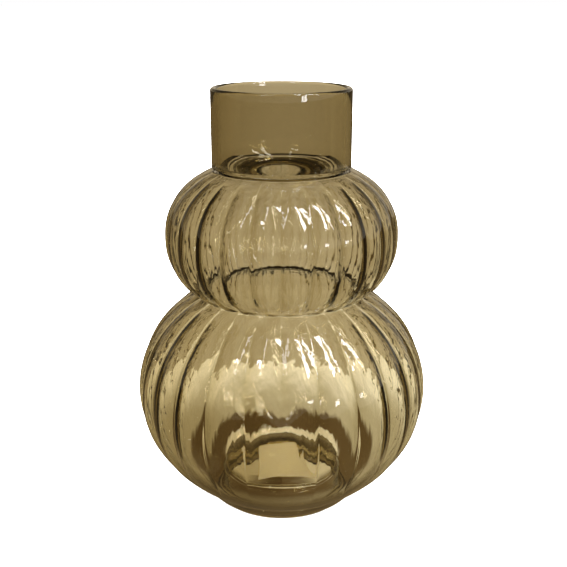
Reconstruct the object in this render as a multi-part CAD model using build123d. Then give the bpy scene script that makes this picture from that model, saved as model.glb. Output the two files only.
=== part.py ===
from build123d import *
import math
import os

# Lengths are in millimetres. The vase stands on z = 0 and its axis is Z. One of its two mould seams faces -Y.

# Whole vase
rib_count = 24
cut_overrun = 2.0
hidden_step = 0.4

# Foot: a flat ring to stand on round a deep recess with a bevelled top, a rounded edge and a conical heel
recess_radius = 42.0
recess_taper = 0.8
recess_depth = 18.5
recess_rounding = 1.2
recess_bevel_width = 5.5
recess_bevel_height = 6.0
stand_ring_width = 3.3
foot_rounding_width = 5.5
foot_rounding_height = 4.5
foot_rounding_radius = 9.0
heel_radius = 63.0
heel_height = 16.0

# Lower bulb: widest over its rib crests, then drawn in to the waist above and to the heel below
lower_radius = 100.0
lower_belly_rise = 64.0
lower_drop_fullness = 1.93
lower_rise_fullness = 2.16
lower_wall = 2.4

# Waist between the bulbs
waist_radius = 57.0
waist_rise = 70.4
waist_wall = 4.5

# Upper bulb: widest over its rib crests, then drawn in to the shoulder above and to the waist below
upper_radius = 78.3
upper_belly_rise = 39.6
upper_drop_fullness = 2.3
upper_rise_fullness = 2.4
upper_wall = 2.4
shoulder_radius = 45.5
shoulder_rise = 45.2
shoulder_wall = 4.0
shoulder_inner_fullness = 2.7

# Pinch between the upper bulb and the neck, and the shelf inside it, which leaves a narrow round throat
pinch_sink = 1.7
pinch_depth = 3.7
pinch_groove_angle = 15.0
shelf_width = 8.5
shelf_lift = 2.3
shelf_edge_rounding = 1.5
shelf_corner_rounding = 2.5

# Neck
neck_radius = 46.2
neck_height = 54.5
neck_wall = 4.2
neck_heel_height = 4.5
neck_heel_rounding = 6.0
lip_rounding = 1.8

# Inside of the floor: raised over the recess, with a trough round it that follows the foot
floor_wall = 3.5
floor_shrink = 4.5
floor_corner_offset = 2.0
floor_corner_rise = 5.5
trough_wall = 4.5
trough_offset = 5.5
trough_rise = 2.0
trough_edge_offset = 2.6
trough_top_offset = 2.2
trough_heel_inset = 5.5
trough_heel_drop = 1.0
trough_rounding = 1.2
floor_inner_fullness = 2.1

# Ribs: the depth of the grooves is a share of the radius, and it fades at the heel and at the shoulder
rib_depth_share = 0.02
rib_fade_height = 7.0
shoulder_rib_share = 0.4
inner_rib_extra = 2.4
inner_rib_fade_height = 12.0
seam_fill_rise = 12.0
seam_fill_height = 20.0
sections_per_half_bulb = 6

# Paper label on the underside of the floor
label_margin = 3.7
label_width_share = 0.625
label_thickness = 0.2
label_corner = 1.5
label_turn = 8.0

# Levels, from the foot up
floor_level = recess_depth + floor_wall
lower_level = heel_height + lower_belly_rise
seam_fill_level = lower_level + seam_fill_rise
waist_level = lower_level + waist_rise
upper_level = waist_level + upper_belly_rise
shoulder_level = upper_level + shoulder_rise
pinch_level = shoulder_level - pinch_sink
shelf_level = pinch_level + shelf_lift
height = pinch_level + neck_height

# Radii that follow from others
recess_mouth = recess_radius + recess_rounding
recess_top = recess_radius - recess_taper
recess_flat = recess_top - recess_bevel_width
stand_radius = recess_mouth + stand_ring_width
pinch_radius = neck_radius - pinch_depth
bore_radius = neck_radius - neck_wall
throat_radius = bore_radius - shelf_width
trough_radius = recess_radius + trough_offset
trough_edge_radius = recess_radius + trough_edge_offset
trough_top_radius = recess_radius + trough_top_offset


def half_bulb(widest, widest_level, end_radius, end_level, fullness):
    """Returns the crest radius of a half bulb as a function of level."""
    def radius(level):
        share = (level - widest_level) / (end_level - widest_level)
        return math.sqrt(widest**2 - (widest**2 - end_radius**2) * max(share, 0) ** fullness)
    return radius


def inner_end(widest, widest_level, end_radius, end_level, fullness, wall):
    """Moves the end of a half bulb inwards by the wall, square to its surface."""
    slope = (widest**2 - end_radius**2) * fullness / (2 * end_radius * (end_level - widest_level))
    reach = math.hypot(1, slope)
    return end_radius - wall / reach, end_level - wall * slope / reach


def half_bulb_levels(widest_level, end_level):
    """Levels from the widest one to the end, closer together towards the end."""
    reach = end_level - widest_level
    shares = [math.sin(math.pi / 2 * k / sections_per_half_bulb) for k in range(sections_per_half_bulb + 1)]
    return [widest_level + reach * share for share in shares]


def smooth_step(value):
    """Rises smoothly from 0 to 1 as the value does."""
    clipped = min(max(value, 0), 1)
    return clipped**2 * (3 - 2 * clipped)


def seam_fill(level):
    """How far the grooves on the two mould seams are filled up: fully in the lower half of the lower bulb."""
    return 1 - smooth_step((level - seam_fill_level) / seam_fill_height)


def outer_groove(crest, level):
    """Groove depth on the outside: none at the heel, a share of the full depth at the shoulder."""
    heel = smooth_step((level - heel_height) / rib_fade_height)
    shoulder = smooth_step((shoulder_level - level) / rib_fade_height)
    return crest * rib_depth_share * heel * (shoulder_rib_share + (1 - shoulder_rib_share) * shoulder)


def inner_groove(low_level, high_level):
    """Groove depth on the inside as a function: deeper than outside, and none at both ends of the hollow."""
    def depth(crest, level):
        low_fade = smooth_step((level - low_level) / inner_rib_fade_height)
        high_fade = smooth_step((high_level - level) / inner_rib_fade_height)
        return (crest * rib_depth_share + inner_rib_extra) * low_fade * high_fade
    return depth


def ribbed_section(crest, depth, level, fill):
    """A face across the bulb: round lobes between grooves, and at the seams one lobe of double width."""
    pitch = 2 * math.pi / rib_count
    groove = crest - depth
    # one arc through the grooves on both sides of a seam, with its crest on the seam
    centre = (crest**2 - groove**2) / (2 * (crest - groove * math.cos(pitch)))
    sideways = centre * math.sin(pitch / 2)
    wide = centre * math.cos(pitch / 2) + math.sqrt((crest - centre) ** 2 - sideways**2)

    def place(radius, turns):
        angle = turns * pitch - math.pi / 2
        return (radius * math.cos(angle), radius * math.sin(angle))

    def groove_radius(index):
        on_seam = index % (rib_count // 2) == 0
        return groove + (crest - groove) * fill if on_seam else groove

    def crest_radius(index):
        beside_seam = index % (rib_count // 2) in (0, rib_count // 2 - 1)
        return crest + (wide - crest) * fill if beside_seam else crest

    arcs = [
        ThreePointArc(
            place(groove_radius(k), k),
            place(crest_radius(k), k + 1 / 2),
            place(groove_radius(k + 1), (k + 1) % rib_count),
        )
        for k in range(rib_count)
    ]
    return Pos(0, 0, level) * make_face(arcs)


def ribbed_bulb(widest, level, low, high, low_fullness, high_fullness, groove_depth):
    """A ribbed bulb, closed at both ends. low and high are the (radius, level) of its ends."""
    below = half_bulb(widest, level, *low, low_fullness)
    above = half_bulb(widest, level, *high, high_fullness)
    levels = half_bulb_levels(level, low[1])[:0:-1] + half_bulb_levels(level, high[1])
    sections = []
    for z in levels:
        crest = (below if z < level else above)(z)
        sections.append(ribbed_section(crest, groove_depth(crest, z), z, seam_fill(z)))
    return loft(sections)


def turned(*edges):
    """A solid of revolution about Z from the edges of its half section in XZ."""
    return revolve(make_face(edges), Axis.Z)


# Ends of the outer and inner surfaces, as (radius, level)
heel_end = (heel_radius, heel_height)
waist_end = (waist_radius, waist_level)
shoulder_end = (shoulder_radius, shoulder_level)
floor_corner = (heel_radius + floor_corner_offset, floor_level + floor_corner_rise)
lower_top = inner_end(lower_radius, lower_level, *waist_end, lower_rise_fullness, lower_wall)
upper_bottom = inner_end(upper_radius, upper_level, *waist_end, upper_drop_fullness, upper_wall)
upper_top = inner_end(upper_radius, upper_level, *shoulder_end, upper_rise_fullness, shoulder_wall)

# Outside of the bulbs
glass = ribbed_bulb(
    lower_radius, lower_level, heel_end, waist_end, lower_drop_fullness, lower_rise_fullness, outer_groove
)
glass += ribbed_bulb(
    upper_radius, upper_level, waist_end, shoulder_end, upper_drop_fullness, upper_rise_fullness, outer_groove
)

# Foot and conical heel; its top reaches a little way up inside the ribbed bulb
foot_edge = (stand_radius + foot_rounding_width, foot_rounding_height)
heel_inside = heel_radius - hidden_step
heel_overlap = heel_height + cut_overrun
glass += turned(
    Plane.XZ * Polyline((0, heel_overlap), (0, 0), (stand_radius, 0)),
    Plane.XZ * RadiusArc((stand_radius, 0), foot_edge, -foot_rounding_radius),
    Plane.XZ * Polyline(
        foot_edge, heel_end, (heel_inside, heel_height), (heel_inside, heel_overlap), (0, heel_overlap)
    ),
)

# Neck, run down into the shoulder
neck_foot_level = shoulder_level - neck_heel_height
glass += Pos(0, 0, neck_foot_level) * Cylinder(
    neck_radius, height - neck_foot_level, align=(Align.CENTER, Align.CENTER, Align.MIN)
)

# The pinch: a groove whose lower side rises outwards and whose upper side is the neck's rounded lower edge
groove_reach = neck_radius + cut_overrun
groove_rise = (groove_reach - pinch_radius) * math.tan(math.radians(pinch_groove_angle))
neck_heel_top = pinch_level + neck_heel_height
glass -= turned(
    Plane.XZ * Polyline(
        (pinch_radius, pinch_level),
        (groove_reach, pinch_level + groove_rise),
        (groove_reach, neck_heel_top),
        (neck_radius, neck_heel_top),
    ),
    Plane.XZ * RadiusArc((pinch_radius, pinch_level), (neck_radius, neck_heel_top), -neck_heel_rounding),
)

# Hollows of the two bulbs
glass -= ribbed_bulb(
    lower_radius - lower_wall, lower_level, floor_corner, lower_top,
    floor_inner_fullness, lower_rise_fullness, inner_groove(floor_corner[1], lower_top[1]),
)
glass -= ribbed_bulb(
    upper_radius - upper_wall, upper_level, upper_bottom, upper_top,
    upper_drop_fullness, shoulder_inner_fullness, inner_groove(upper_bottom[1], upper_top[1]),
)

# Floor, raised in the middle, and the trough round it
corner_overlap = floor_corner[1] + cut_overrun
bevel_foot = recess_depth - recess_bevel_height
glass -= turned(
    Plane.XZ * FilletPolyline(
        (0, floor_level),
        (recess_radius - floor_shrink, floor_level),
        (trough_top_radius, bevel_foot + trough_rise / 2),
        (trough_edge_radius, trough_wall + trough_rise),
        (trough_radius, trough_wall),
        (heel_radius - trough_heel_inset, heel_height - trough_heel_drop),
        floor_corner,
        radius=trough_rounding,
    ),
    Plane.XZ * Polyline(
        floor_corner, (floor_corner[0], corner_overlap), (0, corner_overlap), (0, floor_level)
    ),
)

# Passage through the waist
waist_low = lower_top[1] - cut_overrun
waist_high = upper_bottom[1] + cut_overrun
glass -= turned(
    Plane.XZ * Polyline((0, waist_high), (0, waist_low), (lower_top[0], waist_low), lower_top),
    Plane.XZ * ThreePointArc(lower_top, (waist_radius - waist_wall, waist_level), upper_bottom),
    Plane.XZ * Polyline(upper_bottom, (upper_bottom[0], waist_high), (0, waist_high)),
)

# Bore of the neck down to the shelf, and the throat through the shelf's rounded edge
bore_end = (bore_radius, shelf_level + shelf_corner_rounding)
shelf_corner = (bore_radius - shelf_corner_rounding, shelf_level)
shelf_edge = (throat_radius + shelf_edge_rounding, shelf_level)
edge_middle = (throat_radius, shelf_level - shelf_edge_rounding)
edge_under = (shelf_edge[0], edge_middle[1] - shelf_edge_rounding)
throat_low = upper_top[1] - cut_overrun
neck_overrun = height + cut_overrun
glass -= turned(
    Plane.XZ * Polyline((0, neck_overrun), (bore_radius, neck_overrun), bore_end),
    Plane.XZ * RadiusArc(bore_end, shelf_corner, shelf_corner_rounding),
    Plane.XZ * Line(shelf_corner, shelf_edge),
    Plane.XZ * ThreePointArc(shelf_edge, edge_middle, edge_under),
    Plane.XZ * Polyline(
        edge_under, upper_top, (upper_top[0], throat_low), (0, throat_low), (0, neck_overrun)
    ),
)

# Recess under the floor
glass -= turned(
    Plane.XZ * Polyline(
        (0, recess_depth), (0, -cut_overrun), (recess_mouth, -cut_overrun), (recess_mouth, 0)
    ),
    Plane.XZ * RadiusArc((recess_mouth, 0), (recess_radius, recess_rounding), recess_rounding),
    Plane.XZ * Polyline(
        (recess_radius, recess_rounding),
        (recess_top, recess_depth - recess_bevel_height),
        (recess_flat, recess_depth),
        (0, recess_depth),
    ),
)

# Fire-polished lip
lip_edges = glass.edges().filter_by(GeomType.CIRCLE).group_by(Axis.Z)[-1]
glass = fillet(lip_edges, lip_rounding)

# Label, stuck flat to the top of the recess, with its corners a margin inside the flat part
label_diagonal = 2 * (recess_flat - label_margin)
label_width = label_diagonal * label_width_share
label_length = math.sqrt(label_diagonal**2 - label_width**2)
label_sheet = Rot(0, 0, label_turn) * RectangleRounded(label_width, label_length, label_corner)
label = Pos(0, 0, recess_depth - label_thickness) * extrude(label_sheet, label_thickness)

os.makedirs("parts", exist_ok=True)
export_step(glass, "parts/glass_body.step")
export_step(label, "parts/base_label.step")
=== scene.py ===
"""Gourd vase of clear amber glass, seen from slightly above on a white table."""

import logging
import math
from dataclasses import dataclass, field
from enum import Enum
from typing import Any

import bmesh
import bpy
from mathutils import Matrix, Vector


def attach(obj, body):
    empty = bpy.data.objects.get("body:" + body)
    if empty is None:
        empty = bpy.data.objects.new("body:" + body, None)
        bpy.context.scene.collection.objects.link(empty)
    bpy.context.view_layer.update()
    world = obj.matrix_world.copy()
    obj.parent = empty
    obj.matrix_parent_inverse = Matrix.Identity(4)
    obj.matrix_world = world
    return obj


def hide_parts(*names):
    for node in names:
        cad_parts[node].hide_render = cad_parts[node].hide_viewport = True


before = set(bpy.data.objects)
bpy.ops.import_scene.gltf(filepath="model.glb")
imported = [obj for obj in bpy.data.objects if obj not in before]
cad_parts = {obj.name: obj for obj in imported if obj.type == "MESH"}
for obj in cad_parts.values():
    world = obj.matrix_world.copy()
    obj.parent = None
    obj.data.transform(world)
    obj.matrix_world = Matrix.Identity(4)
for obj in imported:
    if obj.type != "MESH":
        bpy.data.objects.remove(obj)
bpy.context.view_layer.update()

MM = 0.001
LOG = logging.getLogger("gourd_vase")
SMOOTH = {"interpolation_type": "SMOOTHSTEP"}
MIX = {"data_type": "RGBA", "blend_type": "MIX"}
MULTIPLY = {"data_type": "RGBA", "blend_type": "MULTIPLY"}
# Bow of an arc as a share of its rounding: a quarter circle, and just under half a circle
QUARTER_BOW = 0.293
HALF_BOW = 0.98

Point = tuple[float, float]
Colour = tuple[float, float, float, float]
Stop = tuple[Point, float, int]


class Side(Enum):
    """The two faces of the glass wall."""

    OUTER = "outer"
    INNER = "inner"


def linear(code: str) -> Colour:
    """Turns an sRGB hex colour into linear RGBA.

    Args:
        code: Six hex digits, with or without a leading hash.

    Returns:
        The colour in linear light, with an alpha of 1.
    """
    digits = code.lstrip("#")
    shares = [int(digits[i:i + 2], 16) / 255 for i in (0, 2, 4)]
    red, green, blue = (s / 12.92 if s <= 0.04045 else ((s + 0.055) / 1.055) ** 2.4 for s in shares)
    return red, green, blue, 1.0


def smooth_step(value: float) -> float:
    """Rises smoothly from 0 to 1 as a value does.

    Args:
        value: Any number.

    Returns:
        0 below 0, 1 above 1 and a smooth rise between.
    """
    clipped = min(max(value, 0.0), 1.0)
    return clipped * clipped * (3 - 2 * clipped)


def add_node(tree: bpy.types.NodeTree, kind: str, settings: dict[str, Any] | None = None,
             inputs: dict[Any, Any] | None = None) -> bpy.types.Node:
    """Adds a node to a tree.

    Args:
        tree: The node tree.
        kind: The node's type, such as ShaderNodeMath.
        settings: Attributes of the node.
        inputs: Socket name or index to a value, or to the output socket that feeds it.

    Returns:
        The new node.
    """
    node = tree.nodes.new(kind)
    for name, value in (settings or {}).items():
        setattr(node, name, value)
    for name, value in (inputs or {}).items():
        if isinstance(value, bpy.types.NodeSocket):
            tree.links.new(value, node.inputs[name])
        else:
            node.inputs[name].default_value = value
    return node


def fade(tree: bpy.types.NodeTree, value: bpy.types.NodeSocket, start: float, end: float, first: Any,
         second: Any) -> bpy.types.NodeSocket:
    """Goes smoothly from one colour to another while a value rises.

    Args:
        tree: The node tree.
        value: The value.
        start: Where the first colour begins to fade.
        end: Where only the second colour is left.
        first: Colour or socket.
        second: Colour or socket.

    Returns:
        The blended colour.
    """
    share = add_node(tree, "ShaderNodeMapRange", SMOOTH, {"Value": value, "From Min": start, "From Max": end})
    return add_node(tree, "ShaderNodeMix", MIX, {0: share.outputs["Result"], 6: first, 7: second}).outputs[2]


def new_material(name: str) -> bpy.types.Material:
    """Makes a material with an empty node tree.

    Args:
        name: What the material is.

    Returns:
        The material.
    """
    made = bpy.data.materials.new(name)
    made.use_nodes = True
    made.node_tree.nodes.clear()
    return made


def add_object(name: str, mesh: bmesh.types.BMesh) -> bpy.types.Object:
    """Puts a finished mesh into the scene, at the origin.

    Args:
        name: What the object is.
        mesh: Its mesh, which is freed.

    Returns:
        The object.
    """
    data = bpy.data.meshes.new(name)
    mesh.to_mesh(data)
    mesh.free()
    made = bpy.data.objects.new(name, data)
    bpy.context.scene.collection.objects.link(made)
    return made


@dataclass(frozen=True)
class HalfBulb:
    """One half of a bulb's outline, from its widest level to its end. Sizes are in millimetres."""

    widest_radius: float
    widest_level: float
    end_radius: float
    end_level: float
    fullness: float

    def radius(self, level: float) -> float:
        """Works out the radius over the rib crests.

        Args:
            level: Height above the table.

        Returns:
            The radius.
        """
        share = max((level - self.widest_level) / (self.end_level - self.widest_level), 0.0)
        drop = self.widest_radius**2 - self.end_radius**2
        return math.sqrt(max(self.widest_radius**2 - drop * share**self.fullness, 0.0))

    def points(self, steps: int) -> list[Point]:
        """Lists (radius, level) points from the widest level to the end.

        Args:
            steps: How many pieces the half is cut into.

        Returns:
            The points, closer together in level towards the end.
        """
        reach = self.end_level - self.widest_level
        levels = [self.widest_level + reach * math.sin(math.pi / 2 * k / steps) for k in range(steps + 1)]
        return [(self.radius(level), level) for level in levels]

    def inner_end(self, wall: float) -> Point:
        """Moves the end inwards by the wall, square to the outline.

        Args:
            wall: Thickness of the glass there.

        Returns:
            The end of the inside, as (radius, level).
        """
        drop = self.widest_radius**2 - self.end_radius**2
        slope = drop * self.fullness / (2 * self.end_radius * (self.end_level - self.widest_level))
        reach = math.hypot(1, slope)
        return self.end_radius - wall / reach, self.end_level - wall * slope / reach

    def inside(self, wall: float, end: Point) -> "HalfBulb":
        """Makes the inside of this half.

        Args:
            wall: Thickness of the glass at the widest level.
            end: Where the inside ends, as (radius, level).

        Returns:
            The half bulb of the inside, as full as this one.
        """
        return HalfBulb(self.widest_radius - wall, self.widest_level, *end, self.fullness)


def arc(start: Point, end: Point, bow: float, steps: int) -> list[Point]:
    """Lists points on a circular arc between two points of the half section.

    Args:
        start: First (radius, level).
        end: Last (radius, level).
        bow: Height of the arc over its chord, positive to the left of the way from start to end.
        steps: How many pieces the arc is cut into.

    Returns:
        The points without the first one.
    """
    a, b = Vector(start), Vector(end)
    chord = b - a
    left = Vector((-chord.y, chord.x)).normalized()
    if bow == 0.0:
        return [tuple(a + chord * k / steps) for k in range(1, steps + 1)]
    radius = (chord.length**2 / 4 + bow * bow) / (2 * abs(bow))
    centre = (a + b) / 2 + left * (bow - math.copysign(radius, bow))
    first = math.atan2(a.y - centre.y, a.x - centre.x)
    last = math.atan2(b.y - centre.y, b.x - centre.x)
    turn = last - first
    while turn > math.pi:
        turn -= 2 * math.pi
    while turn < -math.pi:
        turn += 2 * math.pi
    angles = [first + turn * k / steps for k in range(1, steps + 1)]
    return [(centre.x + radius * math.cos(t), centre.y + radius * math.sin(t)) for t in angles]


def follow(points: list[Point], stops: list[Stop]) -> None:
    """Carries an outline on through arcs.

    Args:
        points: The outline so far, which gets the new points.
        stops: For each arc its end, its bow and its steps. More steps go where the curve is tight.
    """
    for end, bow, steps in stops:
        points += arc(points[-1], end, bow, steps)


@dataclass(frozen=True)
class Ribs:
    """The mould's ribs: round lobes between narrow grooves. Sizes are in millimetres."""

    count: int = 24
    depth_share: float = 0.02
    notch: float = 0.05
    inner_notch: float = 0.09
    # The ridges inside are deeper than the grooves outside, from this level up
    inner_extra: float = 1.3
    extra_level: float = 45.0
    extra_height: float = 40.0
    fade_height: float = 7.0
    low_fade_height: float = 50.0
    shoulder_share: float = 0.4
    inner_shoulder_gap: float = 3.0
    pinch_fade_width: float = 6.0
    waist_extra: float = 1.3
    waist_reach: float = 9.0
    inner_waist_reach: float = 12.0
    inner_waist_share: float = 0.35
    # The grooves on the two mould seams are filled up below the first level and open above the second
    seam_low: float = 92.0
    seam_high: float = 112.0
    seam_shift: float = math.radians(1.4)
    gather: float = 0.75

    @property
    def pitch(self) -> float:
        """Works out the angle from one groove to the next.

        Returns:
            The angle in radians.
        """
        return 2 * math.pi / self.count

    def from_seam(self, azimuth: float) -> float:
        """Measures an azimuth from the nearer mould seam.

        Args:
            azimuth: Angle from the front mould seam, in radians.

        Returns:
            The angle, between minus and plus a quarter turn.
        """
        return (azimuth + math.pi / 2) % math.pi - math.pi / 2

    def lobe(self, turns: float, notch: float) -> float:
        """Shapes one lobe.

        Args:
            turns: Place across the lobe, as a share of its width from its crest.
            notch: How rounded the groove is.

        Returns:
            The share of the groove depth, 0 on the crest and 1 in the groove.
        """
        wave = math.sqrt(math.cos(math.pi * turns) ** 2 + notch * notch) - notch
        return 1 - wave / (math.sqrt(1 + notch * notch) - notch)

    def filled(self, level: float) -> float:
        """Tells how far the grooves on the seams are filled up.

        Args:
            level: Height above the table.

        Returns:
            1 where they are full, 0 where they are open.
        """
        return 1 - smooth_step((level - self.seam_low) / (self.seam_high - self.seam_low))

    def dip(self, azimuth: float, level: float, side: Side) -> float:
        """Works out the share of the groove depth at an azimuth.

        Args:
            azimuth: Angle from the front mould seam, in radians.
            level: Height above the table.
            side: Which face of the wall.

        Returns:
            0 on a crest, 1 in a groove.
        """
        off_seam = self.from_seam(azimuth)
        notch = self.notch if side is Side.OUTER else self.inner_notch
        ribbed = self.lobe(off_seam / self.pitch - 0.5, notch)
        if abs(off_seam) > self.pitch:
            return ribbed
        wide = self.lobe(off_seam / (2 * self.pitch), notch)
        return ribbed + (wide - ribbed) * self.filled(level)

    def gathered(self, azimuth: float) -> float:
        """Moves an azimuth towards the nearest groove, so that the mesh is finest there.

        Args:
            azimuth: Angle from the front mould seam, in radians.

        Returns:
            The azimuth that the vertex gets.
        """
        return azimuth - self.gather * math.sin(self.count * azimuth) / self.count

    def shifted(self, azimuth: float, level: float) -> float:
        """Draws the grooves beside a filled seam nearer to it.

        Args:
            azimuth: Angle from the front mould seam, in radians.
            level: Height above the table.

        Returns:
            The azimuth that the vertex ends at.
        """
        off_seam = self.from_seam(azimuth)
        if abs(off_seam) > 2 * self.pitch:
            return azimuth
        return azimuth - self.filled(level) * self.seam_shift * math.sin(math.pi / 2 * off_seam / self.pitch)


@dataclass
class GlassBody:
    """The blown glass, in one wall from the lip to the foot. Sizes are in millimetres."""

    height: float = 288.0
    neck_radius: float = 46.2
    neck_wall: float = 4.2
    lip_rounding: float = 1.8
    lip_steps: int = 12
    pinch_radius: float = 42.5
    pinch_level: float = 233.5
    pinch_heel: float = 3.4
    pinch_heel_bow: float = -1.2
    throat_radius: float = 33.5
    shelf_level: float = 235.8
    shelf_edge: float = 1.5
    shelf_corner: float = 1.0
    upper_radius: float = 78.3
    upper_level: float = 190.0
    upper_drop_fullness: float = 2.3
    upper_rise_fullness: float = 2.4
    shoulder: Point = (45.5, 235.2)
    # Where the pinch meets the shoulder, from the shoulder's end, and how much of its curve it takes
    shoulder_join: Point = (0.6, -0.5)
    shoulder_join_bow: float = 0.25
    shoulder_trim: float = 1.2
    waist: Point = (57.0, 150.4)
    waist_throat: float = 51.5
    waist_throat_bow: float = 0.3
    waist_line: float = 1.2
    lower_radius: float = 100.0
    lower_level: float = 80.0
    lower_drop_fullness: float = 1.93
    lower_rise_fullness: float = 2.16
    heel: Point = (63.0, 16.0)
    foot_edge: Point = (52.0, 4.5)
    foot_bow: float = -0.7
    stand_radius: float = 46.5
    recess_radius: float = 42.0
    recess_depth: float = 18.5
    recess_rounding: float = 1.2
    recess_bow: float = 0.35
    recess_bevel: Point = (2.5, 2.5)
    recess_taper: float = 0.8
    floor_level: float = 22.0
    floor_radius: float = 40.0
    floor_corner: Point = (61.5, 18.2)
    trough: tuple[Point, ...] = ((49.8, 6.4), (47.0, 4.0), (44.8, 6.0), (44.2, 17.5))
    wall: float = 2.7
    shoulder_wall: float = 2.2
    merge_distance: float = 0.02
    axis_radius: float = 1.0
    steps_round: int = 240
    ribs: Ribs = field(default_factory=Ribs)

    def halves(self) -> tuple[HalfBulb, HalfBulb, HalfBulb, HalfBulb]:
        """Makes the outside of the bulbs.

        Returns:
            The lower bulb's lower and upper half, then the upper bulb's.
        """
        lower, upper = (self.lower_radius, self.lower_level), (self.upper_radius, self.upper_level)
        return (
            HalfBulb(*lower, *self.heel, self.lower_drop_fullness),
            HalfBulb(*lower, *self.waist, self.lower_rise_fullness),
            HalfBulb(*upper, *self.waist, self.upper_drop_fullness),
            HalfBulb(*upper, *self.shoulder, self.upper_rise_fullness),
        )

    def outer_profile(self) -> list[Point]:
        """Draws the outside over the crests.

        Returns:
            Points from the lip down to the middle of the recess.
        """
        lower_low, lower_high, upper_low, upper_high = self.halves()
        join = (self.shoulder[0] + self.shoulder_join[0], self.shoulder[1] + self.shoulder_join[1])
        points = [(self.neck_radius, self.height - self.lip_rounding)]
        follow(points, [
            ((self.neck_radius, self.pinch_level + self.pinch_heel), 0.0, 4),
            ((self.pinch_radius, self.pinch_level), self.pinch_heel_bow, 8),
            (join, self.shoulder_join_bow, 4),
        ])
        points += [p for p in upper_high.points(36)[::-1] if p[0] > self.shoulder[0] + self.shoulder_trim]
        points += upper_low.points(36)[1:]
        points[-1] = (self.waist[0] - self.waist_line, self.waist[1])
        points += lower_high.points(48)[::-1][1:]
        points += lower_low.points(44)[1:]
        width, rise = self.recess_bevel
        recess_top = self.recess_radius - self.recess_taper
        follow(points, [
            (self.foot_edge, 0.0, 6),
            ((self.stand_radius, 0.0), self.foot_bow, 5),
            ((self.recess_radius + self.recess_rounding, 0.0), 0.0, 2),
            ((self.recess_radius, self.recess_rounding), self.recess_bow, 3),
            ((recess_top, self.recess_depth - rise), 0.0, 4),
            ((recess_top - width, self.recess_depth), 0.0, 4),
            ((0.0, self.recess_depth), 0.0, 3),
        ])
        return points

    def inner_profile(self) -> list[Point]:
        """Draws the inside over the crests.

        Returns:
            Points from the lip down to the middle of the floor.
        """
        lower_low, lower_high, upper_low, upper_high = self.halves()
        lower_top = lower_high.inner_end(self.wall)
        upper_top = upper_high.inner_end(self.shoulder_wall)
        bore = self.neck_radius - self.neck_wall
        edge = self.throat_radius + self.shelf_edge
        points = [(bore, self.height - self.lip_rounding)]
        follow(points, [
            ((bore, self.shelf_level + self.shelf_corner), 0.0, 4),
            ((bore - self.shelf_corner, self.shelf_level), -QUARTER_BOW * self.shelf_corner, 6),
            ((edge, self.shelf_level), 0.0, 4),
            ((edge, self.shelf_level - 2 * self.shelf_edge), -HALF_BOW * self.shelf_edge, 10),
            (upper_top, 0.0, 5),
        ])
        points += upper_high.inside(self.wall, upper_top).points(30)[::-1][1:]
        points += upper_low.inside(self.wall, upper_low.inner_end(self.wall)).points(26)[1:]
        follow(points, [
            ((self.waist_throat, self.waist[1]), self.waist_throat_bow, 5),
            (lower_top, self.waist_throat_bow, 5),
        ])
        points += lower_high.inside(self.wall, lower_top).points(36)[::-1][1:]
        points += lower_low.inside(self.wall, self.floor_corner).points(34)[1:]
        points += self.trough_profile()
        follow(points, [((0.0, self.floor_level), 0.0, 4)])
        return points

    def trough_profile(self) -> list[Point]:
        """Draws the inside of the floor, with its corners cut twice so that they come out round.

        Returns:
            Points from the floor's outer corner down into the trough and up to the raised middle.
        """
        points = [self.floor_corner, *self.trough, (self.floor_radius, self.floor_level)]
        for _ in range(2):
            rounded = [points[0]]
            for (r0, z0), (r1, z1) in zip(points, points[1:]):
                rounded += [(r0 + (r1 - r0) * s, z0 + (z1 - z0) * s) for s in (0.25, 0.75)]
            points = rounded + [points[-1]]
        return points[1:]

    def lip(self) -> list[Point]:
        """Draws the fire-polished lip.

        Returns:
            Points from the inside over to the outside, without its ends.
        """
        half = self.neck_wall / 2
        low = self.height - self.lip_rounding
        middle = self.neck_radius - half
        angles = [math.pi * (1 - k / self.lip_steps) for k in range(1, self.lip_steps)]
        return [(middle + half * math.cos(t), low + self.lip_rounding * math.sin(t)) for t in angles]

    def groove_depth(self, radius: float, level: float, side: Side) -> float:
        """Works out the groove depth at a level.

        Args:
            radius: Radius over the crests.
            level: Height above the table.
            side: Which face of the wall.

        Returns:
            The depth.
        """
        ribs = self.ribs
        if level > self.pinch_level + 1.0:
            return 0.0
        from_waist = abs(level - self.waist[1])
        if side is Side.OUTER:
            low = smooth_step((level - self.heel[1]) / ribs.low_fade_height)
            high = smooth_step((self.shoulder[1] - level) / ribs.fade_height)
            high = ribs.shoulder_share + (1 - ribs.shoulder_share) * high
            waist = 1 + ribs.waist_extra * (1 - smooth_step(from_waist / ribs.waist_reach))
            pinch = smooth_step((radius - self.pinch_radius) / ribs.pinch_fade_width)
            return radius * ribs.depth_share * low * high * waist * pinch
        low = smooth_step((level - self.floor_corner[1]) / ribs.low_fade_height)
        high = smooth_step((self.shoulder[1] - ribs.inner_shoulder_gap - level) / ribs.fade_height)
        waist = smooth_step(from_waist / ribs.inner_waist_reach)
        waist = ribs.inner_waist_share + (1 - ribs.inner_waist_share) * waist
        extra = ribs.inner_extra * smooth_step((level - ribs.extra_level) / ribs.extra_height)
        return (radius * ribs.depth_share + extra) * low * high * waist

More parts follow.
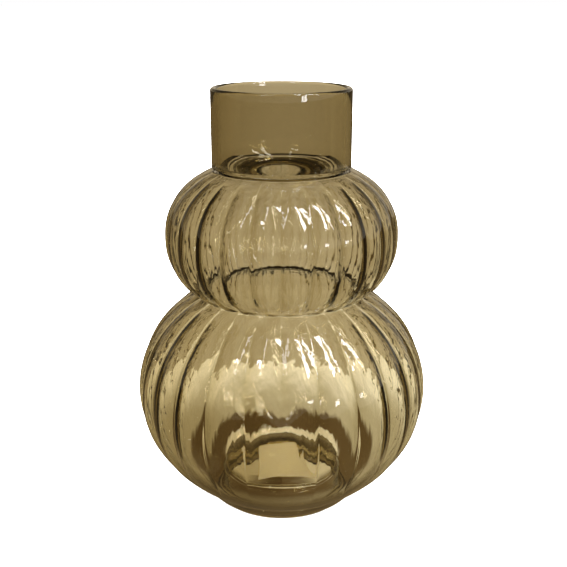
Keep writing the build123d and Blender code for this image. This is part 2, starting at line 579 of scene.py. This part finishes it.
    def build(self) -> bpy.types.Object:
        """Spins the half section and presses the ribs into it.

        Returns:
            The glass object, at the origin.
        """
        outer, inner, lip = self.outer_profile(), self.inner_profile(), self.lip()
        profile = inner[::-1] + lip + outer
        sides = [Side.INNER] * len(inner) + [Side.OUTER] * (len(lip) + len(outer))
        mesh = bmesh.new()
        side_layer = mesh.verts.layers.int.new("side")
        verts = []
        for (radius, level), side in zip(profile, sides):
            vert = mesh.verts.new((radius * MM, 0.0, level * MM))
            vert[side_layer] = 0 if side is Side.OUTER else 1
            verts.append(vert)
        edges = [mesh.edges.new(pair) for pair in zip(verts, verts[1:])]
        bmesh.ops.spin(mesh, geom=verts + edges, cent=(0, 0, 0), axis=(0, 0, 1), angle=2 * math.pi,
                       steps=self.steps_round, use_merge=True)
        bmesh.ops.remove_doubles(mesh, verts=mesh.verts, dist=self.merge_distance * MM)
        for vert in mesh.verts:
            self.press(vert, Side.INNER if vert[side_layer] else Side.OUTER)
        bmesh.ops.recalc_face_normals(mesh, faces=mesh.faces)
        glass = add_object("glass_body_blown", mesh)
        glass.data.polygons.foreach_set("use_smooth", [True] * len(glass.data.polygons))
        return glass

    def press(self, vert: bmesh.types.BMVert, side: Side) -> None:
        """Moves a vertex into the ribbed shape.

        Args:
            vert: A vertex of the round shape.
            side: Which face of the wall it is on.
        """
        x, y, z = vert.co
        radius, level = math.hypot(x, y) / MM, z / MM
        if radius < self.axis_radius:
            return
        azimuth = self.ribs.gathered(math.atan2(x, -y))
        moved = radius - self.groove_depth(radius, level, side) * self.ribs.dip(azimuth, level, side)
        azimuth = self.ribs.shifted(azimuth, level)
        vert.co = Vector((moved * math.sin(azimuth), -moved * math.cos(azimuth), level)) * MM


@dataclass(frozen=True)
class AmberGlass:
    """Soda-lime glass, mould-blown and fire-polished. Ripple sizes are in millimetres, levels in metres.

    It gives the eye sharp highlights, a clear view through thin walls, and a deeper amber where the way
    through the glass is long. The losses are per metre of glass.
    """

    ior: float = 1.5
    red_loss: float = 117.0
    green_loss: float = 138.0
    blue_loss: float = 208.0
    density: float = 320.0
    ripple_width: float = 4.0
    ripple_length: float = 60.0
    ripple_height: float = 0.2
    ripple_detail: float = 1.5
    # Ripples grow between the first two levels, and fade to the neck's share between the other two
    low_levels: Point = (0.05, 0.1)
    low_share: float = 0.05
    neck_levels: Point = (0.225, 0.24)
    neck_share: float = 0.3
    wave_width: float = 26.0
    wave_height: float = 0.12

    def material(self) -> bpy.types.Material:
        """Builds the glass material.

        Returns:
            Smooth refraction at the surface, and absorption inside.
        """
        made = new_material("amber_soda_lime_glass")
        tree = made.node_tree
        losses = (self.red_loss, self.green_loss, self.blue_loss)
        colour = (*(1 - loss / self.density for loss in losses), 1.0)
        surface = add_node(tree, "ShaderNodeBsdfPrincipled", inputs={
            "Base Color": (1.0, 1.0, 1.0, 1.0), "Roughness": 0.0, "IOR": self.ior, "Transmission Weight": 1.0,
            "Normal": self.ripples(tree)})
        inside = add_node(tree, "ShaderNodeVolumeAbsorption", inputs={
            "Color": colour, "Density": self.density})
        add_node(tree, "ShaderNodeOutputMaterial", inputs={
            "Surface": surface.outputs["BSDF"], "Volume": inside.outputs["Volume"]})
        return made

    def ripples(self, tree: bpy.types.NodeTree) -> bpy.types.NodeSocket:
        """Adds the drawn ripples of blown glass, narrow round the vase and long up and down.

        Args:
            tree: The material's node tree.

        Returns:
            The rippled surface normal.
        """
        place = add_node(tree, "ShaderNodeTexCoord")
        stretch = 1 / (self.ripple_width * MM)
        drawn = add_node(tree, "ShaderNodeMapping", inputs={
            "Vector": place.outputs["Object"], "Scale": (stretch, stretch, 1 / (self.ripple_length * MM))})
        fine = add_node(tree, "ShaderNodeTexNoise", inputs={
            "Vector": drawn.outputs["Vector"], "Scale": 1.0, "Detail": self.ripple_detail, "Roughness": 0.5})
        coarse = add_node(tree, "ShaderNodeTexNoise", inputs={
            "Vector": place.outputs["Object"], "Scale": 1 / (self.wave_width * MM), "Detail": 0.0})
        waves = add_node(tree, "ShaderNodeBump", inputs={
            "Height": coarse.outputs[0], "Distance": self.wave_height * MM, "Strength": 1.0})
        level = add_node(tree, "ShaderNodeSeparateXYZ", inputs={0: place.outputs["Object"]}).outputs["Z"]
        bulbs = add_node(tree, "ShaderNodeMapRange", SMOOTH, {
            "Value": level, "From Min": self.low_levels[0], "From Max": self.low_levels[1],
            "To Min": self.low_share})
        necks = add_node(tree, "ShaderNodeMapRange", SMOOTH, {
            "Value": level, "From Min": self.neck_levels[0], "From Max": self.neck_levels[1],
            "To Min": 1.0, "To Max": self.neck_share})
        share = add_node(tree, "ShaderNodeMath", {"operation": "MULTIPLY"}, {
            0: bulbs.outputs[0], 1: necks.outputs[0]})
        bumps = add_node(tree, "ShaderNodeBump", inputs={
            "Height": fine.outputs[0], "Distance": self.ripple_height * MM, "Strength": share.outputs[0],
            "Normal": waves.outputs["Normal"]})
        return bumps.outputs["Normal"]


@dataclass(frozen=True)
class LabelPaper:
    """Uncoated label paper: a matt, even off-white to the eye that glows a little with light behind it."""

    colour: str = "#ece7da"
    shine_through: float = 0.6
    roughness: float = 0.5

    def material(self) -> bpy.types.Material:
        """Builds the paper material.

        Returns:
            Matt paper that lets part of the light through.
        """
        made = new_material("uncoated_label_paper")
        tree = made.node_tree
        matt = add_node(tree, "ShaderNodeBsdfDiffuse", inputs={
            "Color": linear(self.colour), "Roughness": self.roughness})
        through = add_node(tree, "ShaderNodeBsdfTranslucent", inputs={"Color": linear(self.colour)})
        paper = add_node(tree, "ShaderNodeMixShader", inputs={
            0: self.shine_through, 1: matt.outputs["BSDF"], 2: through.outputs["BSDF"]})
        add_node(tree, "ShaderNodeOutputMaterial", inputs={"Surface": paper.outputs["Shader"]})
        return made


@dataclass
class BaseLabel:
    """The paper label under the floor. Sizes are in millimetres."""

    width: float = 40.0
    length: float = 50.0
    thickness: float = 0.12
    top: float = 18.4
    corner: float = 1.5
    corner_steps: int = 4
    turn: float = math.radians(8.0)

    def build(self) -> bpy.types.Object:
        """Makes the sheet with rounded corners.

        Returns:
            The label object, at the origin.
        """
        mesh = bmesh.new()
        bmesh.ops.create_grid(mesh, x_segments=2, y_segments=2, size=0.5)
        corners = [v for v in mesh.verts if min(abs(v.co.x), abs(v.co.y)) > 0.49]
        low = self.top - self.thickness
        for vert in mesh.verts:
            vert.co = Vector((vert.co.x * self.width, vert.co.y * self.length, low)) * MM
        bmesh.ops.bevel(mesh, geom=corners, offset=self.corner * MM, affect="VERTICES",
                        segments=self.corner_steps, profile=0.5, material=-1)
        grown = bmesh.ops.extrude_face_region(mesh, geom=mesh.faces[:])
        top = [v for v in grown["geom"] if isinstance(v, bmesh.types.BMVert)]
        bmesh.ops.translate(mesh, verts=top, vec=(0, 0, self.thickness * MM))
        cosine, sine = math.cos(self.turn), math.sin(self.turn)
        for vert in mesh.verts:
            x, y, z = vert.co
            vert.co = (x * cosine - y * sine, x * sine + y * cosine, z)
        bmesh.ops.recalc_face_normals(mesh, faces=mesh.faces)
        return add_object("base_label_sheet", mesh)


@dataclass(frozen=True)
class Lamp:
    """A soft rectangular lamp that points at the vase. Lengths are in metres, angles in degrees.

    The azimuth is to the right of the front, and the elevation is seen from the middle of the vase.
    A strength of 1 makes the lamp's face white.
    """

    name: str
    azimuth: float
    elevation: float
    distance: float
    width: float
    height: float
    strength: float
    aim_height: float = 0.12

    def build(self) -> None:
        """Adds the lamp to the scene."""
        light = bpy.data.lights.new(self.name, "AREA")
        light.shape, light.size, light.size_y = "RECTANGLE", self.width, self.height
        light.energy = self.strength * math.pi * self.width * self.height
        a, e = math.radians(self.azimuth), math.radians(self.elevation)
        away = Vector((math.sin(a) * math.cos(e), -math.cos(a) * math.cos(e), math.sin(e)))
        lamp = bpy.data.objects.new(self.name, light)
        lamp.location = Vector((0, 0, self.aim_height)) + away * self.distance
        lamp.rotation_euler = (-away).to_track_quat("-Z", "Y").to_euler()
        bpy.context.scene.collection.objects.link(lamp)


@dataclass
class Studio:
    """White table, warm room, lamps and camera. Lengths are in metres, colours in linear light.

    The camera sees the table and the room white. Rays that reach them through the glass see a lit table and a
    warm wall instead, with painted shade under the bulb and before the foot, and a painted shadow ring round
    a painted lit disc on the table under the foot. Reflections in the glass see the table in painted shade.
    """

    table_size: float = 40.0
    table_colour: str = "#e6e6e6"
    # How the glass sees the table: lit, in painted shade under the bulb, as a painted lit disc under the
    # foot, in a painted shadow ring round it and in painted shade before it
    table_seen: Colour = (1.66, 1.6, 1.4, 1.0)
    under_bulb_painted_shade: Colour = (0.78, 0.7, 0.5, 1.0)
    recess_painted_light: Colour = (1.2, 1.1, 0.86, 1.0)
    ring_painted_shadow: Colour = (0.17, 0.11, 0.045, 1.0)
    front_painted_shade: Colour = (0.2, 0.15, 0.08, 1.0)
    lit_width: Point = (0.13, 0.286)
    # Reaches of the painted shade under the bulb, the painted shadow ring and its painted lit disc, and the
    # painted shade before the foot
    under_bulb_shade_reach: Point = (0.13, 0.235)
    shadow_ring_centre: tuple[float, float, float] = (0.0, 0.049, 0.0)
    shadow_ring_inside: Point = (0.043, 0.049)
    shadow_ring_outside: Point = (0.069, 0.081)
    front_shade_reach: Point = (-0.045, -0.005)
    table_end: Point = (0.235, 0.241)
    # How the glass sees the room
    near_wall_seen: Colour = (0.86, 0.76, 0.56, 1.0)
    far_wall_seen: Colour = (0.60, 0.52, 0.38, 1.0)
    ceiling_seen: Colour = (0.2, 0.15, 0.08, 1.0)
    wall_reach: Point = (0.25, 1.6)
    ceiling_rise: Point = (0.05, 0.6)
    left_tint: Colour = (0.84, 0.77, 0.62, 1.0)
    right_tint: Colour = (1.36, 1.38, 1.46, 1.0)
    # Painted shade: the table as reflections in the glass see it
    reflected_painted_shade: Colour = (0.16, 0.11, 0.05, 1.0)
    matt_light: Colour = (5.5, 5.5, 5.5, 1.0)
    white: Colour = (1.0, 1.0, 1.0, 1.0)
    # The table's own light, which grows with the distance from the vase and leaves its shadow
    glow_reach: Point = (0.3, 1.2)
    glow_low: float = 0.5
    lamps: tuple[Lamp, ...] = (
        Lamp("window_strip", 43, 55, 1.3, 0.11, 1.0, 30.0),
        Lamp("low_window", 36, 10, 1.2, 0.22, 0.1, 14.0),
        Lamp("ceiling_spot", -35, 50, 1.2, 0.10, 0.10, 30.0),
        Lamp("side_window", 64, 50, 1.3, 0.1, 0.9, 22.0),
        Lamp("left_window", -26, 58, 1.3, 0.05, 0.9, 9.0),
    )
    camera_place: tuple[float, float, float] = (0.0013, -0.600, 0.342)
    camera_pitch: float = 17.3
    focal_pixels: float = 914
    image_pixels: float = 567
    sensor_width: float = 36.0

    def sided(self, tree: bpy.types.NodeTree, place: bpy.types.NodeSocket,
              colour: bpy.types.NodeSocket) -> bpy.types.NodeSocket:
        """Makes a colour warmer and dimmer on the left of the vase and brighter on the window side.

        Args:
            tree: The node tree.
            place: Where the ray ends, or its direction.
            colour: The colour.

        Returns:
            The tinted colour.
        """
        outward = add_node(tree, "ShaderNodeVectorMath", {"operation": "NORMALIZE"}, {0: place})
        across = add_node(tree, "ShaderNodeSeparateXYZ", inputs={0: outward.outputs[0]}).outputs["X"]
        tint = fade(tree, across, -1.0, 1.0, self.left_tint, self.right_tint)
        return add_node(tree, "ShaderNodeMix", MULTIPLY, {0: 1.0, 6: colour, 7: tint}).outputs[2]

    def table_through_glass(self, tree: bpy.types.NodeTree, place: bpy.types.NodeSocket,
                            reach: bpy.types.NodeSocket) -> bpy.types.NodeSocket:
        """Paints the table as rays see it that come by way of the glass, with painted light and shade round
        the foot.

        Args:
            tree: The node tree.
            place: Where on the table.
            reach: Distance from the vase's axis.

        Returns:
            The colour.
        """
        spot = add_node(tree, "ShaderNodeSeparateXYZ", inputs={0: place})
        across = add_node(tree, "ShaderNodeMath", {"operation": "ABSOLUTE"}, {
            0: spot.outputs["X"]}).outputs[0]
        # Distance from the middle of the painted shadow ring and the painted lit disc inside it
        ring = add_node(tree, "ShaderNodeVectorMath", {"operation": "DISTANCE"}, {
            0: place, 1: self.shadow_ring_centre}).outputs["Value"]
        seen: Any = self.near_wall_seen
        # Layers: a lit strip, then painted shade under the bulb, a painted shadow ring round the foot, the
        # painted lit disc inside it and painted shade before it
        for value, (start, end), colour in (
            (across, self.lit_width, self.table_seen),
            (reach, self.under_bulb_shade_reach, self.under_bulb_painted_shade),
            (ring, self.shadow_ring_outside, self.ring_painted_shadow),
            (ring, self.shadow_ring_inside, self.recess_painted_light),
            (spot.outputs["Y"], self.front_shade_reach, self.front_painted_shade),
        ):
            seen = fade(tree, value, start, end, colour, seen)
        wall = fade(tree, reach, *self.wall_reach, self.near_wall_seen, self.far_wall_seen)
        seen = self.sided(tree, place, fade(tree, spot.outputs["Y"], *self.table_end, seen, wall))
        # Reflections in the glass see the table in painted shade
        path = add_node(tree, "ShaderNodeLightPath")
        seen = add_node(tree, "ShaderNodeMix", MIX, {
            0: path.outputs["Is Reflection Ray"], 6: seen, 7: self.reflected_painted_shade}).outputs[2]
        # Light that the paper scatters comes here as a diffuse ray, or with a diffuse depth
        matt = add_node(tree, "ShaderNodeMath", {"operation": "MAXIMUM"}, {
            0: path.outputs["Diffuse Depth"], 1: path.outputs["Is Diffuse Ray"]})
        return add_node(tree, "ShaderNodeMix", MIX, {
            0: matt.outputs[0], 6: seen, 7: self.matt_light}).outputs[2]

    def floor(self) -> None:
        """Makes the table top, white for the camera with the vase's shadow, and for the glass a lit table
        with painted light and shade under the vase.
        """
        mesh = bmesh.new()
        bmesh.ops.create_grid(mesh, x_segments=1, y_segments=1, size=self.table_size)
        table = add_object("table_top", mesh)
        made = new_material("white_table_top")
        tree = made.node_tree
        place = add_node(tree, "ShaderNodeTexCoord").outputs["Object"]
        reach = add_node(tree, "ShaderNodeVectorMath", {"operation": "LENGTH"}, {0: place}).outputs["Value"]
        far = add_node(tree, "ShaderNodeMapRange", SMOOTH, {
            "Value": reach, "From Min": self.glow_reach[0], "From Max": self.glow_reach[1],
            "To Min": self.glow_low, "To Max": 1.0})
        white = add_node(tree, "ShaderNodeEmission", inputs={"Strength": far.outputs[0]})
        cloth = add_node(tree, "ShaderNodeBsdfDiffuse", inputs={"Color": linear(self.table_colour)})
        for_camera = add_node(tree, "ShaderNodeAddShader", inputs={0: cloth.outputs[0], 1: white.outputs[0]})
        for_glass = add_node(tree, "ShaderNodeEmission", inputs={
            "Color": self.table_through_glass(tree, place, reach), "Strength": 1.0})
        both = add_node(tree, "ShaderNodeMixShader", inputs={
            0: add_node(tree, "ShaderNodeLightPath").outputs["Is Camera Ray"],
            1: for_glass.outputs[0], 2: for_camera.outputs[0]})
        add_node(tree, "ShaderNodeOutputMaterial", inputs={"Surface": both.outputs[0]})
        table.data.materials.append(made)

    def room(self) -> None:
        """Lights the room: white for the camera, a warm wall and a dimmer ceiling for the glass."""
        world = bpy.data.worlds.new("light_room")
        world.use_nodes = True
        tree = world.node_tree
        tree.nodes.clear()
        place = add_node(tree, "ShaderNodeTexCoord").outputs["Generated"]
        level = add_node(tree, "ShaderNodeSeparateXYZ", inputs={0: place}).outputs["Z"]
        wall = fade(tree, level, *self.ceiling_rise, self.far_wall_seen, self.ceiling_seen)
        path = add_node(tree, "ShaderNodeLightPath")
        seen = self.sided(tree, place, wall)
        for share, colour in (("Diffuse Depth", self.matt_light), ("Is Camera Ray", self.white)):
            seen = add_node(tree, "ShaderNodeMix", MIX, {
                0: path.outputs[share], 6: seen, 7: colour}).outputs[2]
        back = add_node(tree, "ShaderNodeBackground", inputs={"Color": seen, "Strength": 1.0})
        add_node(tree, "ShaderNodeOutputWorld", inputs={"Surface": back.outputs[0]})
        bpy.context.scene.world = world

    def camera(self) -> None:
        """Puts the camera where the photograph was taken from."""
        data = bpy.data.cameras.new("camera")
        data.sensor_width = self.sensor_width
        data.lens = self.sensor_width * self.focal_pixels / self.image_pixels
        camera = bpy.data.objects.new("camera", data)
        camera.location = self.camera_place
        camera.rotation_euler = (math.radians(90 - self.camera_pitch), 0, 0)
        bpy.context.scene.collection.objects.link(camera)
        bpy.context.scene.camera = camera

    def build(self) -> None:
        """Sets up the table, the room, the lamps and the camera."""
        self.floor()
        self.room()
        for lamp in self.lamps:
            lamp.build()
        self.camera()


def report(piece: bpy.types.Object) -> None:
    """Logs a piece and its triangle count.

    Args:
        piece: The finished object.
    """
    count = sum(len(p.vertices) - 2 for p in piece.data.polygons)
    LOG.info("%s: %d triangles", piece.name, count)


def main() -> None:
    """Builds the vase, its label and the studio, and logs each piece's triangle count."""
    logging.basicConfig(level=logging.INFO, format="%(name)s: %(message)s")
    scene = bpy.context.scene
    scene.view_settings.view_transform = "Standard"
    scene.cycles.max_bounces = 32
    scene.cycles.transmission_bounces = 24
    scene.cycles.glossy_bounces = 8

    glass = GlassBody().build()
    glass.data.materials.append(AmberGlass().material())
    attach(glass, "root")
    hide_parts("glass_body")
    report(glass)

    label = BaseLabel().build()
    label.data.materials.append(LabelPaper().material())
    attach(label, "root")
    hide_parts("base_label")
    report(label)

    Studio().build()


if __name__ == "__main__":
    main()
